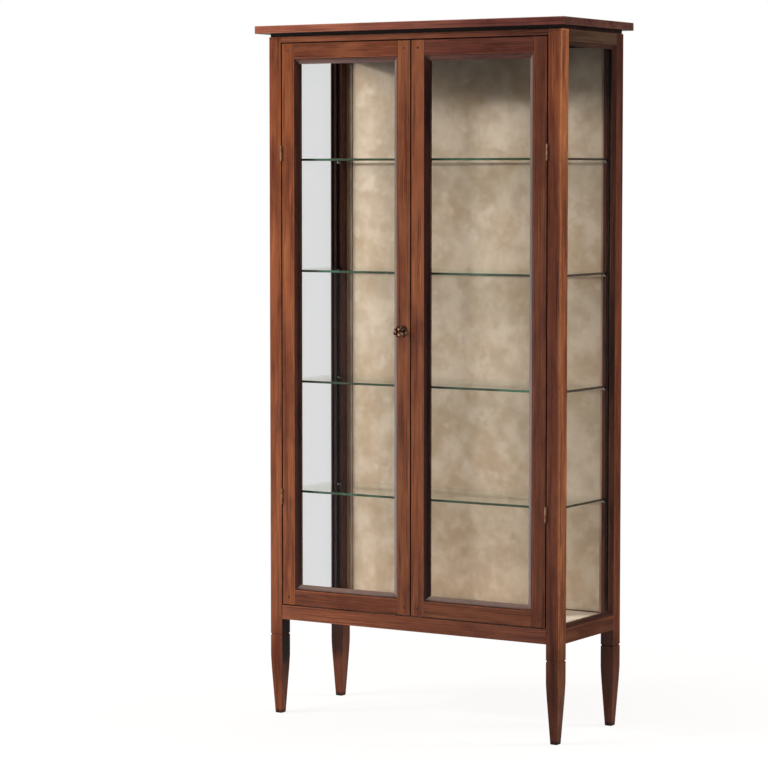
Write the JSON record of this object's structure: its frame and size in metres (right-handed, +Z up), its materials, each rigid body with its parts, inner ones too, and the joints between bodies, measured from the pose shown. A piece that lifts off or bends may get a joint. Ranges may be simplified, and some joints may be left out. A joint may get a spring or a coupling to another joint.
{
  "type": "display cabinet",
  "caption": "Tall wooden display cabinet on tapered legs, with glazed doors and sides, glass shelves, a fabric-lined back, a lock with its key and an inside door bolt.",
  "frame": {"origin": "bottom centre of the whole object, on the floor; front to back it is centred between the key and the rear edge of the top", "axes": "+X to the right of someone facing the doors, +Y to the back, +Z up"},
  "size_m": [0.908, 0.392, 1.8],
  "materials": {
    "wood_top": "satin lacquered cherry, reddish brown",
    "wood_under": "dark stained",
    "wood_posts": "satin stained cherry, worn lighter at the arrises",
    "wood_rails": "satin stained cherry",
    "wood_doors": "satin stained cherry",
    "wood_mouldings": "satin stained cherry",
    "wood_pegs": "dark end grain",
    "wood_battens": "dark brown stain",
    "wood_back": "plain plywood, lightly stained",
    "fabric_lining": "mottled cream velvet",
    "glass_panes": "clear float glass",
    "glass_shelves": "clear float glass, green at its ground edges",
    "metal_pins": "polished",
    "brass_hinges": "aged, toned to the wood",
    "bronze_key": "aged bronze",
    "steel_lock": "dulled",
    "brass_bolt": "satin"
  },
  "bodies": {
    "cabinet": {"back_battens": "wood_battens", "back_lining": "fabric_lining", "back_panel": "wood_back", "door_stop": "wood_under", "floor_board": "wood_back", "floor_cleats": "wood_under", "floor_lining": "fabric_lining", "front_bottom_rail": "wood_rails", "front_top_rail": "wood_rails", "hinge_pins": "brass_hinges", "inside_bolt_keep": "brass_bolt", "left_bottom_rail": "wood_rails", "left_side_beads": "wood_mouldings", "left_side_glass": "glass_panes", "left_side_moulding": "wood_mouldings", "left_top_rail": "wood_rails", "post_front_left": "wood_posts", "post_front_right": "wood_posts", "post_hinge_leaves": "brass_hinges", "post_rear_left": "wood_posts", "post_rear_right": "wood_posts", "rear_bottom_rail": "wood_rails", "rear_top_rail": "wood_rails", "right_bottom_rail": "wood_rails", "right_side_beads": "wood_mouldings", "right_side_glass": "glass_panes", "right_side_moulding": "wood_mouldings", "right_top_rail": "wood_rails", "shelf_1": "glass_shelves", "shelf_2": "glass_shelves", "shelf_3": "glass_shelves", "shelf_4": "glass_shelves", "shelf_pins": "metal_pins", "top_board": "wood_top", "under_board": "wood_under"},
    "left_door": {"escutcheon": "bronze_key", "left_door_beads": "wood_mouldings", "left_door_bottom_rail": "wood_doors", "left_door_glass": "glass_panes", "left_door_hinge_leaves": "brass_hinges", "left_door_hinge_stile": "wood_doors", "left_door_lock_stile": "wood_doors", "left_door_moulding": "wood_mouldings", "left_door_pegs": "wood_pegs", "left_door_top_rail": "wood_doors", "lock_case": "steel_lock"},
    "right_door": {"inside_bolt_plate": "brass_bolt", "lock_keep": "steel_lock", "right_door_beads": "wood_mouldings", "right_door_bottom_rail": "wood_doors", "right_door_glass": "glass_panes", "right_door_hinge_leaves": "brass_hinges", "right_door_hinge_stile": "wood_doors", "right_door_meeting_stile": "wood_doors", "right_door_moulding": "wood_mouldings", "right_door_pegs": "wood_pegs", "right_door_top_rail": "wood_doors"},
    "key": {"key": "bronze_key"},
    "lock_bolt": {"lock_bolt": "steel_lock"},
    "inside_bolt": {"inside_bolt": "brass_bolt"}
  },
  "joints": [
    {"name": "left_door_swing", "type": "hinge", "parent": "cabinet", "child": "left_door", "pos_m": [-0.392, -0.148, 1.0235], "axis": [0, 0, -1], "range_deg": [0, 170]},
    {"name": "right_door_swing", "type": "hinge", "parent": "cabinet", "child": "right_door", "pos_m": [0.392, -0.148, 1.0235], "axis": [0, 0, 1], "range_deg": [0, 170]},
    {"name": "key_turn", "type": "hinge", "parent": "left_door", "child": "key", "pos_m": [-0.02, -0.146, 1.02], "axis": [0, -1, 0], "range_deg": [0, 90]},
    {"name": "lock_bolt_slide", "type": "slide", "parent": "left_door", "child": "lock_bolt", "axis": [1, 0, 0], "range_m": [0, 0.008]},
    {"name": "inside_bolt_slide", "type": "slide", "parent": "right_door", "child": "inside_bolt", "axis": [0, 0, 1], "range_m": [0, 0.01]}
  ],
  "couplings": [
    {"joint": "lock_bolt_slide", "follows": "key_turn", "m_per_rad": 0.005092}
  ]
}
